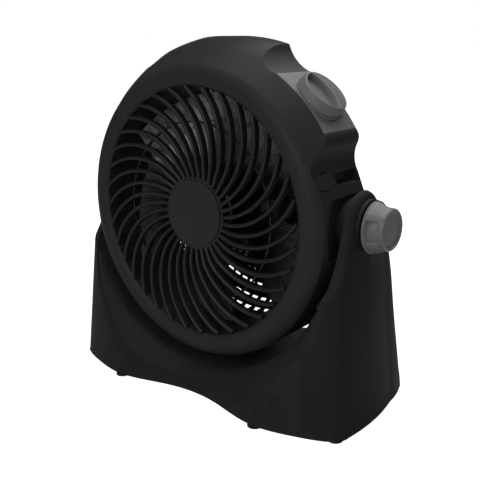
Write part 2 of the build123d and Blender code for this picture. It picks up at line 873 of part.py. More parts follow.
with BuildPart() as impeller_nut:
    with BuildSketch(front_plane(rotor_hub_front)):
        RegularPolygon(nut_size, 6)
        Circle(shaft_radius + running_gap, mode=Mode.SUBTRACT)
    extrude(amount=nut_height)
save(impeller_nut, "impeller_nut")

with BuildPart() as motor_shaft:
    with BuildSketch(front_plane(-rear_bell_face + 1)):
        Circle(shaft_radius)
    extrude(amount=shaft_front + rear_bell_face - 1)
save(motor_shaft, "motor_shaft")

with BuildPart() as rotor_core:
    with BuildSketch(front_plane(-stator_back)):
        Circle(rotor_radius)
        Circle(shaft_radius + running_gap, mode=Mode.SUBTRACT)
    extrude(amount=stator_back - stator_front)
save(rotor_core, "rotor_core")


# ================================================================ motor
def end_bell(face, joint):
    """Cast motor end: outer wall, end wall with a bearing pocket and screw holes."""
    inward = 1 if joint > face else -1
    inner_wall = face + inward * bell_wall
    pocket_end = face + inward * (2 + bearing_length + 1)
    with BuildPart() as bell:
        with BuildSketch(head_axial):
            with BuildLine():
                Polyline(
                    (motor_radius, joint), (motor_radius, face), (shaft_radius + 1, face),
                    (shaft_radius + 1, face + inward * 2),
                    (bearing_radius + running_gap, face + inward * 2),
                    (bearing_radius + running_gap, pocket_end), (bearing_boss_radius, pocket_end),
                    (bearing_boss_radius, inner_wall), (bell_cavity_radius, inner_wall),
                    (bell_cavity_radius, joint), (motor_radius, joint),
                )
            make_face()
        revolve(axis=head_axis)
        with BuildSketch(front_plane(-joint)):
            with PolarLocations(motor_screw_circle, motor_screw_count, start_angle=motor_screw_start):
                Circle(screw_radius)
        extrude(amount=inward * 40, mode=Mode.SUBTRACT)
        with BuildSketch(front_plane(-face)):
            with PolarLocations((bearing_boss_radius + bell_cavity_radius) / 2, bell_slot_count):
                SlotOverall(bell_slot_length, bell_slot_width)
        extrude(amount=-inward * bell_wall, mode=Mode.SUBTRACT)
    return bell.part


with BuildPart() as motor_front_bell:
    add(end_bell(front_bell_face, stator_front))
save(motor_front_bell, "motor_front_bell")

with BuildPart() as motor_rear_bell:
    add(end_bell(rear_bell_face, stator_back))
save(motor_rear_bell, "motor_rear_bell")

with BuildPart() as motor_stator:
    with BuildSketch(front_plane(-stator_back)):
        Circle(motor_radius)
        Circle(rotor_radius + air_gap, mode=Mode.SUBTRACT)
        with PolarLocations(motor_screw_circle, motor_screw_count, start_angle=motor_screw_start):
            Circle(screw_radius, mode=Mode.SUBTRACT)
    extrude(amount=stator_back - stator_front)
save(motor_stator, "motor_stator")

with BuildPart() as motor_windings:
    add(tube(front_plane(-stator_front), winding_outer, winding_inner, front_winding_length))
    add(tube(front_plane(-stator_back), winding_outer, winding_inner, -rear_winding_length))
save(motor_windings, "motor_windings")

with BuildPart() as motor_bearings:
    for back in (front_bell_face + 2 + bearing_length, rear_bell_face - 2):
        add(tube(front_plane(-back), bearing_radius, shaft_radius + running_gap, bearing_length))
save(motor_bearings, "motor_bearings")

with BuildPart() as motor_screws:
    with BuildSketch(front_plane(-rear_bell_face - motor_plate_thickness)):
        with PolarLocations(motor_screw_circle, motor_screw_count, start_angle=motor_screw_start):
            Circle(screw_radius - running_gap)
    extrude(amount=rear_bell_face + motor_plate_thickness - front_bell_face)
    with BuildSketch(front_plane(-front_bell_face)):
        with PolarLocations(motor_screw_circle, motor_screw_count, start_angle=motor_screw_start):
            Circle(2 * screw_radius)
    extrude(amount=2)
save(motor_screws, "motor_screws")


# ================================================================ rear grille
with BuildPart() as rear_grille:
    inner_profile = [
        (radius - inward, depth - forward)
        for (radius, depth), (inward, forward) in zip(basket_profile, basket_inward)
    ]
    with BuildSketch(front_plane(-basket_profile[0][1])):
        with PolarLocations(0, rib_count):
            with Locations(((basket_profile[0][0] + basket_profile[-1][0]) / 2, 0)):
                Rectangle(basket_profile[0][0] - basket_profile[-1][0] + 2, rib_width)
    extrude(amount=-basket_profile[-1][1])
    with BuildSketch(head_axial):
        with BuildLine():
            Polyline(*basket_profile, *reversed(inner_profile), basket_profile[0])
        make_face()
    revolve(axis=head_axis, mode=Mode.INTERSECT)
    with BuildSketch(head_axial):
        for radius, depth in ring_places:
            with Locations((radius, depth)):
                Rectangle(ring_width, ring_width)
    revolve(axis=head_axis)
    with BuildSketch(front_plane(-head_back)):
        with BuildLine():
            add(head_outline().line)
        make_face()
        offset(amount=-flange_inset)
        Circle(tunnel_mouth_radius, mode=Mode.SUBTRACT)
        for angle in housing_screw_angles:
            with Locations(polar(housing_screw_circle, angle)):
                Circle(screw_radius + seat_gap, mode=Mode.SUBTRACT)
    extrude(amount=-flange_thickness)
    add(side_pockets(0), mode=Mode.SUBTRACT)
    add(tube(front_plane(-basket_profile[-1][1]), motor_plate_radius, cover_radius,
             basket_profile[-1][1] - rear_bell_face))
    with BuildSketch(front_plane(-rear_bell_face)):
        Circle(motor_plate_radius)
        Circle(bearing_boss_radius, mode=Mode.SUBTRACT)
        with PolarLocations(motor_screw_circle, motor_screw_count, start_angle=motor_screw_start):
            Circle(screw_radius, mode=Mode.SUBTRACT)
    extrude(amount=-motor_plate_thickness)
save(rear_grille, "rear_grille")


# ================================================================ rear cover and what it holds
with BuildPart() as motor_cover:
    plate_back = rear_bell_face + motor_plate_thickness
    cover_out = cover_radius - seat_gap
    cover_back = plate_back + cover_depth
    with BuildSketch(head_axial):
        with BuildLine():
            Polyline(
                (cover_out, plate_back), (cover_out, cover_back - cover_bevel_depth),
                (cover_out - cover_bevel, cover_back), (0, cover_back), (0, cover_back - cover_wall),
                (cover_out - cover_bevel - 1, cover_back - cover_wall),
                (cover_out - cover_wall, cover_back - cover_bevel_depth - 1),
                (cover_out - cover_wall, plate_back),
                (cover_out, plate_back),
            )
        make_face()
    revolve(axis=head_axis)
    with BuildSketch(front_plane(-cover_back)):
        with Locations((0, -gland_drop)):
            Circle(gland_radius)
    extrude(amount=2 * cover_wall, mode=Mode.SUBTRACT)
save(motor_cover, "motor_cover")

with BuildPart() as cord_gland:
    with BuildSketch(front_plane(-cover_back)):
        with Locations((0, -gland_drop)):
            Circle(gland_radius + 2)
    extrude(amount=-gland_collar, taper=gland_taper)
    with BuildSketch(front_plane(-cover_back)):
        with Locations((0, -gland_drop)):
            Circle(gland_radius - running_gap)
    extrude(amount=cover_wall + 2)
    with BuildSketch(front_plane(-cover_back - gland_collar)):
        with Locations((0, -gland_drop)):
            Circle(cord_radius)
    extrude(amount=cover_wall + 2 + gland_collar, mode=Mode.SUBTRACT)
save(cord_gland, "cord_gland")

with BuildPart() as run_capacitor:
    with BuildSketch(front_plane(-plate_back)):
        with Locations((0, capacitor_rise)):
            RectangleRounded(*capacitor_size, capacitor_corner)
    extrude(amount=-capacitor_height)
save(run_capacitor, "run_capacitor")

with BuildPart() as housing_screws:
    flange_back = head_back + flange_thickness
    with BuildSketch(front_plane(-flange_back)):
        for angle in housing_screw_angles:
            with Locations(polar(housing_screw_circle, angle)):
                Circle(2 * screw_radius)
    extrude(amount=-2)
    with BuildSketch(front_plane(-flange_back)):
        for angle in housing_screw_angles:
            with Locations(polar(housing_screw_circle, angle)):
                Circle(screw_radius - running_gap)
    extrude(amount=housing_screw_length)
save(housing_screws, "housing_screws")


# ================================================================ speed control
switch_top = panel_radius - panel_thickness - skin - switch_pad
knob_base = panel_radius + panel_seat_height + knob_gap

with BuildPart() as rotary_switch:
    with BuildSketch(radial_plane(switch_top)):
        RectangleRounded(switch_width, switch_width, 2)
    extrude(amount=-switch_depth)
    with BuildSketch(radial_plane(switch_top)):
        Circle(spindle_radius + running_gap)
    extrude(amount=-switch_depth, mode=Mode.SUBTRACT)
save(rotary_switch, "rotary_switch")

with BuildPart() as switch_spindle:
    with BuildSketch(radial_plane(switch_top - switch_depth + 2)):
        Circle(spindle_radius)
    extrude(amount=knob_base + spindle_grip - switch_top + switch_depth - 2)
save(switch_spindle, "switch_spindle")

with BuildPart() as speed_knob:
    with BuildSketch(radial_plane(knob_base)):
        Circle(speed_knob_base)
    with BuildSketch(radial_plane(knob_base + speed_knob_height)):
        Circle(speed_knob_top)
    loft()
    fillet(speed_knob.edges().filter_by(GeomType.CIRCLE).sort_by(SortBy.RADIUS)[0], knob_edge_radius)
    with BuildSketch(radial_plane(knob_base + speed_knob_height)):
        Circle(knob_hollow_radius)
        with Locations((knob_hollow_start - speed_knob_base, 0)):
            Rectangle(2 * speed_knob_base, 2 * speed_knob_base, mode=Mode.SUBTRACT)
    extrude(amount=-knob_hollow_depth, mode=Mode.SUBTRACT)
    with BuildSketch(radial_plane(knob_base)):
        Circle(spindle_radius + running_gap)
    extrude(amount=spindle_grip, mode=Mode.SUBTRACT)
save(speed_knob, "speed_knob")
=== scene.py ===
import bpy
import bmesh
import json
from math import acos, atan2, cos, degrees, pi, radians, sin
from mathutils import Vector, Matrix


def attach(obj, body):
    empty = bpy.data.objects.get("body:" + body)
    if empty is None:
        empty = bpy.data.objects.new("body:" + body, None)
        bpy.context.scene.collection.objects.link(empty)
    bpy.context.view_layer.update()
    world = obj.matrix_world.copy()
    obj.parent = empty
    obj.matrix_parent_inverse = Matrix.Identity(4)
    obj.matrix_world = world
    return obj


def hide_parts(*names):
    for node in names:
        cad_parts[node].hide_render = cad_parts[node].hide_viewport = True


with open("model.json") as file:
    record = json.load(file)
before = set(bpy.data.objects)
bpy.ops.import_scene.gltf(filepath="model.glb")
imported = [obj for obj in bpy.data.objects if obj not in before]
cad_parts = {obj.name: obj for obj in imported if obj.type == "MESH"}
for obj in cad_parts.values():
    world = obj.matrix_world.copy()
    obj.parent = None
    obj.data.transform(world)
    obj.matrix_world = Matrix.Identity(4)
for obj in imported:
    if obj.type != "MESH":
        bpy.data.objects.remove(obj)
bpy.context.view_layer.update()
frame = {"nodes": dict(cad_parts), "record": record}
print("frame loaded:", len(frame["nodes"]), "nodes")

mm = 0.001  # the frame is in metres, sizes below are in millimetres
pivotHeight = 192.4
headCentre = Vector((0, 0, pivotHeight * mm))
headAxis = Vector((0, 1, 0))

# camera, at the height and angle the picture was taken from
view = {
    "place": (491.1, -604.6, 366.25),
    "direction": (-0.6023, 0.7529, -0.2656),
    "lens": 56.85,
    "sensor": 36.0,
    "range": (0.05, 20),  # in metres
}


def makeCamera():
    data = bpy.data.cameras.new("camera")
    data.lens = view["lens"]
    data.sensor_width = view["sensor"]
    data.clip_start, data.clip_end = view["range"]
    cam = bpy.data.objects.new("camera", data)
    bpy.context.scene.collection.objects.link(cam)
    cam.location = Vector(view["place"]) * mm
    cam.rotation_euler = Vector(view["direction"]).to_track_quat("-Z", "Y").to_euler()
    bpy.context.scene.camera = cam


makeCamera()
bpy.context.scene.view_settings.view_transform = "Standard"


# node helpers: an input is given as a value, or as the socket that feeds it
def addNode(tree, kind, inputs, **settings):
    node = tree.nodes.new(kind)
    for name, value in settings.items():
        setattr(node, name, value)
    for name, value in inputs.items():
        if isinstance(value, bpy.types.NodeSocket):
            tree.links.new(value, node.inputs[name])
        else:
            node.inputs[name].default_value = value
    return node


def calculate(tree, operation, first, second):
    return addNode(tree, "ShaderNodeMath", {0: first, 1: second}, operation=operation).outputs[0]


def fit(tree, value, low=0, high=1, toLow=0, toHigh=1):
    inputs = {"Value": value, "From Min": low, "From Max": high, "To Min": toLow, "To Max": toHigh}
    return addNode(tree, "ShaderNodeMapRange", inputs).outputs[0]


def noise(tree, place, scale, detail, distortion=0):
    inputs = {"Vector": place, "Scale": scale, "Detail": detail, "Distortion": distortion}
    return addNode(tree, "ShaderNodeTexNoise", inputs, noise_dimensions="3D").outputs[0]


def placeGroup(tree, group, inputs):
    return addNode(tree, "ShaderNodeGroup", inputs, node_tree=group).outputs


def mixColors(tree, factor, first, second):
    inputs = {"Factor": factor, "A": first, "B": second}
    return addNode(tree, "ShaderNodeMix", inputs, data_type="RGBA").outputs["Result"]


def newGroup(name, inputs, outputs):
    group = bpy.data.node_groups.new(name, "ShaderNodeTree")
    group.interface.new_socket("Vector", in_out="INPUT", socket_type="NodeSocketVector")
    for label, value in inputs.items():
        socket = group.interface.new_socket(label, in_out="INPUT", socket_type="NodeSocketFloat")
        socket.default_value = value
    for label in outputs:
        group.interface.new_socket(label, in_out="OUTPUT", socket_type="NodeSocketFloat")
    return group, group.nodes.new("NodeGroupInput").outputs, group.nodes.new("NodeGroupOutput").inputs


# fine pebbled grain of injection moulded plastic, with slow flow marks
grainValues = {"perMetre": 1000, "smoothness": 0.8, "fineScale": 1.7, "fineDetail": 3, "flowDetail": 4,
               "flowDistortion": 0.6}


def makeMouldGrain():
    group, ins, outs = newGroup("mouldGrain", {"Grain size": 0.5, "Flow size": 30.0}, ("Height", "Flow"))
    values = grainValues
    grainScale = calculate(group, "DIVIDE", values["perMetre"], ins["Grain size"])
    inputs = {"Vector": ins["Vector"], "Scale": grainScale, "Smoothness": values["smoothness"]}
    pebble = addNode(group, "ShaderNodeTexVoronoi", inputs, feature="SMOOTH_F1")
    fineScale = calculate(group, "MULTIPLY", grainScale, values["fineScale"])
    fine = noise(group, ins["Vector"], fineScale, values["fineDetail"])
    group.links.new(calculate(group, "ADD", pebble.outputs["Distance"], fine), outs["Height"])
    flowScale = calculate(group, "DIVIDE", values["perMetre"], ins["Flow size"])
    flow = noise(group, ins["Vector"], flowScale, values["flowDetail"], values["flowDistortion"])
    group.links.new(flow, outs["Flow"])
    return group


# rubbed edges that are also a painted highlight, lighter where the mesh is pointed, and a thin film of dust
# on what faces up
handlingAndHighlightValues = {"ridge": (0.52, 0.66), "patchScale": 42, "patchDetail": 5, "upward": (0.3, 1.0),
                  "cloudScale": 90, "cloudDetail": 8}


def makeHandlingAndHighlight():
    group, ins, outs = newGroup("handlingAndHighlight", {"RubAndHighlight": 0.3, "Dust": 0.1}, ("WornEdgeAndHighlight", "Film"))
    values = handlingAndHighlightValues
    geometry = addNode(group, "ShaderNodeNewGeometry", {})
    ridge = fit(group, geometry.outputs["Pointiness"], *values["ridge"])
    patch = noise(group, ins["Vector"], values["patchScale"], values["patchDetail"])
    # the rubbed edge mask also serves as a painted highlight on edges
    rubbedAndHighlight = calculate(group, "MULTIPLY", ridge, patch)
    group.links.new(calculate(group, "MULTIPLY", rubbedAndHighlight, ins["RubAndHighlight"]), outs["WornEdgeAndHighlight"])
    normal = addNode(group, "ShaderNodeSeparateXYZ", {0: geometry.outputs["Normal"]})
    upward = fit(group, normal.outputs["Z"], *values["upward"])
    cloud = noise(group, ins["Vector"], values["cloudScale"], values["cloudDetail"])
    settled = calculate(group, "MULTIPLY", upward, cloud)
    group.links.new(calculate(group, "MULTIPLY", settled, ins["Dust"]), outs["Film"])
    return group


# painted sheen: streaks that fan out from the head's axis, which lighten the glossy blades as if they
# reflected light; as a bump they are the fine lines that mould polish leaves on blades
fanValues = {"scale": 1, "detail": 4}


def makeFanSheenStreaks():
    group, ins, outs = newGroup("fanSheenStreaks", {"Streaks": 260.0}, ("Streak", "Radius"))
    apart = addNode(group, "ShaderNodeSeparateXYZ", {0: ins["Vector"]}).outputs
    rise = calculate(group, "SUBTRACT", apart["Z"], pivotHeight * mm)
    angle = calculate(group, "ARCTAN2", rise, apart["X"])
    flat = addNode(group, "ShaderNodeCombineXYZ", {"X": apart["X"], "Z": rise}).outputs[0]
    radius = addNode(group, "ShaderNodeVectorMath", {0: flat}, operation="LENGTH").outputs["Value"]
    group.links.new(radius, outs["Radius"])
    along = addNode(group, "ShaderNodeVectorMath", {0: ins["Vector"]}, operation="LENGTH").outputs["Value"]
    turns = calculate(group, "MULTIPLY", angle, ins["Streaks"])
    across = addNode(group, "ShaderNodeCombineXYZ", {"X": turns, "Y": along}).outputs[0]
    group.links.new(noise(group, across, fanValues["scale"], fanValues["detail"]), outs["Streak"])
    return group


mouldGrain = makeMouldGrain()
handlingAndHighlight = makeHandlingAndHighlight()
fanSheenStreaks = makeFanSheenStreaks()


def principled(name):
    material = bpy.data.materials.new(name)
    material.use_nodes = True
    tree = material.node_tree
    return material, tree, tree.nodes["Principled BSDF"]


def tinted(color, factor, lift=0):
    return (*[min(1, part * factor + lift) for part in color], 1)


# what all the mouldings share, unless their own look says otherwise
plasticBase = {
    "flowSize": 40, "rubAndHighlight": 0.2, "dust": 0.05, "specular": 0.5, "coat": 0, "coatRoughness": 0.12,
    "flowShades": (0.88, 1.14), "rubbedAndHighlightShade": (2.4, 0.02), "dustColor": (0.30, 0.29, 0.27),
    "roughnessRange": (-0.05, 0.06), "bumpDistance": 0.00008,
    "paintedSheenEdges": (0.35, 0.65), "streakDistance": 0.0002,
}
looks = {
    "blackSatin": {"color": (0.0260, 0.0256, 0.0260), "roughness": 0.46, "specular": 0.06, "grainSize": 0.55,
                   "bump": 0.2},
    "blackHood": {"color": (0.0390, 0.0375, 0.0377), "roughness": 0.4, "specular": 0.09, "grainSize": 0.5,
                  "bump": 0.16},
    "blackGloss": {"color": (0.004, 0.004, 0.0042), "roughness": 0.22, "specular": 0.8, "grainSize": 1.4,
                   # a rub of 1 paints a strong highlight along the blades' edges
                   "bump": 0.05, "coat": 0.3, "streaks": 150.0, "streakBump": 0.35, "rubAndHighlight": 1.0,
                   # the streak colour is a painted sheen on the blades, kept to the outer radii
                   "paintedSheenColor": (0.19, 0.19, 0.192), "paintedSheenRadii": (76.0, 120.0)},
    "blackGrille": {"color": (0.0200, 0.0199, 0.0203), "roughness": 0.32, "specular": 0.3, "grainSize": 0.5,
                    "bump": 0.1},
    "greyMatt": {"color": (0.2, 0.2, 0.201), "roughness": 0.4, "specular": 0.3, "grainSize": 0.45,
                 "bump": 0.16, "rubAndHighlight": 0.3, "dust": 0.02},
    "greySatin": {"color": (0.2, 0.2, 0.201), "roughness": 0.28, "specular": 0.45, "grainSize": 0.45,
                  "bump": 0.08, "rubAndHighlight": 0.3, "dust": 0.02},
    "rubberBlack": {"color": (0.012, 0.012, 0.012), "roughness": 0.75, "specular": 0.25, "grainSize": 0.8,
                    "bump": 0.4, "dust": 0.1},
    "caseDark": {"color": (0.03, 0.03, 0.034), "roughness": 0.35, "specular": 0.5, "grainSize": 0.9,
                 "bump": 0.1},
}
metalBase = {
    "shade": 0.8, "scale": 1, "detail": 6, "roughnessRange": (-0.08, 0.1), "bump": 0.25,
    "bumpDistance": 0.00005,
}
metals = {  # the lines are how often the machining marks repeat along each axis
    "zincSteel": {"color": (0.42, 0.42, 0.43), "roughness": 0.34, "lines": (900, 900, 900)},
    "groundSteel": {"color": (0.56, 0.56, 0.57), "roughness": 0.24, "lines": (60, 2600, 60)},
    "castAlloy": {"color": (0.46, 0.46, 0.47), "roughness": 0.5, "lines": (420, 420, 420)},
    "laminated": {"color": (0.2, 0.2, 0.21), "roughness": 0.45, "lines": (30, 4000, 30)},
    "copperWire": {"color": (0.20, 0.085, 0.045), "roughness": 0.4, "lines": (300, 2600, 300)},
    "brassTurned": {"color": (0.68, 0.48, 0.2), "roughness": 0.3, "lines": (2200, 60, 60)},
}


# injection moulded plastic with grain, flow marks, dust, and rubbed edges that are also a painted highlight;
# on blades a painted sheen of fanned streaks that fades to painted shade towards the hub
def mouldedPlastic(name, look):
    look = {**plasticBase, **look}
    material, tree, shader = principled(name)
    place = addNode(tree, "ShaderNodeTexCoord", {}).outputs["Object"]
    grain = placeGroup(
        tree, mouldGrain, {"Vector": place, "Grain size": look["grainSize"], "Flow size": look["flowSize"]},
    )
    wornAndHighlight = placeGroup(tree, handlingAndHighlight, {"Vector": place, "RubAndHighlight": look["rubAndHighlight"], "Dust": look["dust"]})
    dark, light = (tinted(look["color"], shade) for shade in look["flowShades"])
    color = mixColors(tree, grain["Flow"], dark, light)
    # painted highlight as well as wear: the rubbed edges are lightened
    color = mixColors(tree, wornAndHighlight["WornEdgeAndHighlight"], color, tinted(look["color"], *look["rubbedAndHighlightShade"]))
    color = mixColors(tree, wornAndHighlight["Film"], color, tinted(look["dustColor"], 1))
    low, high = (look["roughness"] + change for change in look["roughnessRange"])
    tree.links.new(fit(tree, grain["Flow"], toLow=low, toHigh=high), shader.inputs["Roughness"])
    inputs = {"Strength": look["bump"], "Distance": look["bumpDistance"], "Height": grain["Height"]}
    normal = addNode(tree, "ShaderNodeBump", inputs).outputs[0]
    if "streaks" in look:
        fan = placeGroup(tree, fanSheenStreaks, {"Vector": place, "Streaks": look["streaks"]})
        sheen = fit(tree, fan["Streak"], *look["paintedSheenEdges"])
        # painted shade: the sheen fades out inwards, leaving the blades dark towards the hub
        outward = fit(tree, fan["Radius"], *[radius * mm for radius in look["paintedSheenRadii"]])
        paintedSheenMask = calculate(tree, "MULTIPLY", sheen, outward)
        # painted sheen: grey streaks mixed into the blades' colour
        color = mixColors(tree, paintedSheenMask, color, tinted(look["paintedSheenColor"], 1))
        inputs = {
            "Strength": look["streakBump"], "Distance": look["streakDistance"], "Height": fan["Streak"],
            "Normal": normal,
        }
        normal = addNode(tree, "ShaderNodeBump", inputs).outputs[0]
    tree.links.new(color, shader.inputs["Base Color"])
    tree.links.new(normal, shader.inputs["Normal"])
    shader.inputs["Specular IOR Level"].default_value = look["specular"]
    shader.inputs["Coat Weight"].default_value = look["coat"]
    shader.inputs["Coat Roughness"].default_value = look["coatRoughness"]
    return material


# metal with fine machining lines, cast or drawn
def brushedMetal(name, look):
    look = {**metalBase, **look}
    material, tree, shader = principled(name)
    place = addNode(tree, "ShaderNodeTexCoord", {}).outputs["Object"]
    stretch = addNode(tree, "ShaderNodeMapping", {"Scale": look["lines"], "Vector": place}).outputs[0]
    lines = noise(tree, stretch, look["scale"], look["detail"])
    color = mixColors(tree, lines, tinted(look["color"], look["shade"]), tinted(look["color"], 1))
    tree.links.new(color, shader.inputs["Base Color"])
    low, high = (look["roughness"] + change for change in look["roughnessRange"])
    tree.links.new(fit(tree, lines, toLow=low, toHigh=high), shader.inputs["Roughness"])
    inputs = {"Strength": look["bump"], "Distance": look["bumpDistance"], "Height": lines}
    tree.links.new(addNode(tree, "ShaderNodeBump", inputs).outputs[0], shader.inputs["Normal"])
    shader.inputs["Metallic"].default_value = 1
    return material


materials = {name: mouldedPlastic(name, look) for name, look in looks.items()}
materials.update({name: brushedMetal(name, look) for name, look in metals.items()})
print("materials made:", len(materials))

slotLooks = {
    "black_moulding": "blackSatin", "gloss_moulding": "blackGloss", "grey_moulding": "greyMatt",
    "foot_rubber": "rubberBlack", "screw_steel": "zincSteel", "bearing_steel": "groundSteel",
    "lamination_steel": "laminated", "cast_alloy": "castAlloy", "copper_winding": "copperWire",
    "brass_insert": "brassTurned", "capacitor_case": "caseDark",
}
nodeLooks = {"front_housing": "blackHood", "hub_cap": "blackHood"}
nodeBody = {
    node: body for body, members in frame["record"]["behaviour"]["bodies"].items() for node in members
}
nodeSlot = {part["node"]: part["material_slot"] for part in frame["record"]["subparts"]}


def nodeMaterial(node):
    return materials[nodeLooks.get(node, slotLooks[nodeSlot[node]])]


def finish(piece, body, material):
    piece.data.materials.clear()
    piece.data.materials.append(material)
    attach(piece, body)


def addPiece(name, mesh, sharpAngle):
    mesh.shade_smooth()
    mesh.set_sharp_from_angle(angle=radians(sharpAngle))
    piece = bpy.data.objects.new(name, mesh)
    bpy.context.scene.collection.objects.link(piece)
    return piece


newShapeSharp = 32


def shapeFrom(work, name):
    mesh = bpy.data.meshes.new(name)
    bmesh.ops.recalc_face_normals(work, faces=work.faces)
    work.to_mesh(mesh)
    work.free()
    return addPiece(name, mesh, newShapeSharp)


# moulded copies: a node's own mesh, merged, with its flats joined and its edges rounded
softEdges = {  # width and steps of the rounding
    "base_shell": (1.6, 3), "front_housing": (1.2, 3), "rear_grille": (0.35, 1),
    "control_panel": (0.5, 2), "impeller": (0.5, 2), "motor_cover": (0.8, 3), "base_plate": (0.5, 2),
    "hub_cap": (0.3, 2), "feet": (0.3, 2),
}
moulding = {"merge": 0.01, "flatAngle": 0.6, "sharpAngle": 28}


def mouldedCopy(node):
    width, steps = softEdges[node]
    work = bmesh.new()
    work.from_mesh(frame["nodes"][node].data)
    bmesh.ops.remove_doubles(work, verts=work.verts, dist=moulding["merge"] * mm)
    bmesh.ops.dissolve_limit(
        work, angle_limit=radians(moulding["flatAngle"]), verts=work.verts, edges=work.edges,
    )
    mesh = bpy.data.meshes.new(node + "Moulded")
    work.to_mesh(mesh)
    work.free()
    piece = addPiece(node + "Moulded", mesh, moulding["sharpAngle"])
    rounding = piece.modifiers.new("rounding", "BEVEL")
    rounding.limit_method = "ANGLE"
    rounding.angle_limit = radians(moulding["sharpAngle"])
    rounding.width = width * mm
    rounding.segments = steps
    rounding.harden_normals = True
    rounding.use_clamp_overlap = True
    finish(piece, nodeBody[node], nodeMaterial(node))
    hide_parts(node)


for node in softEdges:
    mouldedCopy(node)
print("moulded pieces:", len(softEdges))

# front grille: swirling bars with rounded fronts between the hub's collar and the rim
swirl = {
    "bars": 36, "width": 3.9, "backWidth": 2.5, "front": 66.0, "back": 58.0, "crown": 1.8, "crownSteps": 6,
    "arcRadius": 74.6, "arcOffset": 80.2, "arcAngle": 69.7,  # the bar's arc and its middle
    "inner": 35.3, "outer": 123.4, "stations": 26,
    "sinkStart": 54.0, "sink": 2.6,  # the fronts dip towards the hub
}
ringSteps = 180
swirlRings = {  # closed sections: radius, depth
    "collar": ((36.4, -55.0), (36.6, -55.4), (36.6, -62.4), (36.1, -63.0), (33.8, -63.0), (33.8, -55.0)),
    "support": ((89.1, -55.6), (90.0, -55.1), (90.9, -55.6), (90.9, -58.6), (89.1, -58.6)),
    "rim": ((124.9, -50.1), (124.9, -62.8), (124.6, -63.0), (124.3, -62.8), (120.1, -50.1)),
}
hubDisc = {"radius": 36.0, "front": 62.9, "back": 60.4, "segments": 96}


def ease(value):
    value = min(1, max(0, value))
    return value * value * (3 - 2 * value)


# profile points turned about an axis, which runs through the head's middle unless a centre is given
def spinProfile(work, points, axis, steps, closed=False, centre=headCentre):
    line = [work.verts.new(point) for point in points]
    pairs = zip(line, line[1:] + line[:1]) if closed else zip(line, line[1:])
    geometry = line + [work.edges.new(pair) for pair in pairs]
    bmesh.ops.spin(
        work, geom=geometry, cent=centre, axis=axis, angle=2 * pi, steps=steps, use_merge=True,
    )


def addRing(work, section):
    points = [headCentre + Vector((radius, depth, 0)) * mm for radius, depth in section]
    spinProfile(work, points, headAxis, ringSteps, closed=True)


# where the bar's arc meets a radius, from the head's axis
def barPlace(radius):
    offset, bend = swirl["arcOffset"], swirl["arcRadius"]
    reach = (radius**2 + offset**2 - bend**2) / (2 * radius * offset)
    angle = radians(swirl["arcAngle"]) - acos(reach)
    return Vector((cos(angle), 0, sin(angle))) * radius


# across the bar and along the head's axis: rounded front, sides that close in to the back
def barSection():
    half, backHalf, crown = swirl["width"] / 2, swirl["backWidth"] / 2, swirl["crown"]
    points = [(-backHalf, -swirl["back"])]
    for step in range(swirl["crownSteps"] + 1):
        angle = pi * step / swirl["crownSteps"]
        points.append((-half * cos(angle), crown - swirl["front"] - crown * sin(angle)))
    points.append((backHalf, -swirl["back"]))
    return points


def addBars(work):
    arcAngle = radians(swirl["arcAngle"])
    middle = Vector((cos(arcAngle), 0, sin(arcAngle))) * swirl["arcOffset"]
    start, end = (barPlace(swirl[key]) - middle for key in ("inner", "outer"))
    outward = start.normalized()
    ring = []
    for across, depth in barSection():
        place = middle + outward * (swirl["arcRadius"] + across) + headAxis * depth
        ring.append(work.verts.new(headCentre + place * mm))
    edges = [work.edges.new((ring[i - 1], ring[i])) for i in range(len(ring))]
    swept = bmesh.ops.spin(
        work, geom=ring + edges, cent=headCentre + middle * mm, axis=start.cross(end).normalized(),
        angle=start.angle(end), steps=swirl["stations"],
    )
    lastEdges = [item for item in swept["geom_last"] if isinstance(item, bmesh.types.BMEdge)]
    for loop in (edges, lastEdges):
        bmesh.ops.edgeloop_fill(work, edges=loop)
    for vert in work.verts:
        place = (vert.co - headCentre) / mm
        if -place.y < (swirl["front"] + swirl["back"]) / 2:  # the back stays flat
            continue
        place.y = 0
        radius = (middle + (place - middle).normalized() * swirl["arcRadius"]).length
        near = ease((swirl["sinkStart"] - radius) / (swirl["sinkStart"] - swirl["inner"]))
        vert.co.y += swirl["sink"] * near * mm
    copies = swirl["bars"] - 1
    bmesh.ops.spin(
        work, geom=work.verts[:] + work.edges[:] + work.faces[:], cent=headCentre, axis=headAxis,
        angle=2 * pi * copies / swirl["bars"], steps=copies, use_duplicate=True,
    )


def makeSwirlGrille():
    work = bmesh.new()
    addBars(work)
    for section in swirlRings.values():
        addRing(work, section)
    depth = (hubDisc["front"] - hubDisc["back"]) * mm
    facing = Matrix.Translation(headCentre - headAxis * (hubDisc["back"] * mm + depth / 2))
    bmesh.ops.create_cone(
        work, cap_ends=True, segments=hubDisc["segments"], radius1=hubDisc["radius"] * mm,
        radius2=hubDisc["radius"] * mm, depth=depth, matrix=facing @ Matrix.Rotation(pi / 2, 4, "X"),
    )
    piece = shapeFrom(work, "swirlGrille")
    finish(piece, "head", materials["blackGrille"])
    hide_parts("front_grille")


makeSwirlGrille()
print("front grille made")

# rear grille: bands and louvre rings between the basket's ribs
rearBands = {
    "spans": (  # from and to: radius, depth
        ((91.6, 57.4), (104.6, 54.6)), ((108.6, 52.4), (117.6, 46.0)), ((123.4, 41.4), (126.3, 36.0)),
        ((127.2, 27.0), (128.0, 18.0)),
    ),
    "thickness": 1.6,
}
louvres = {"first": 57.0, "pitch": 4.2, "count": 8, "front": 53.6, "back": 59.4, "thickness": 1.6}


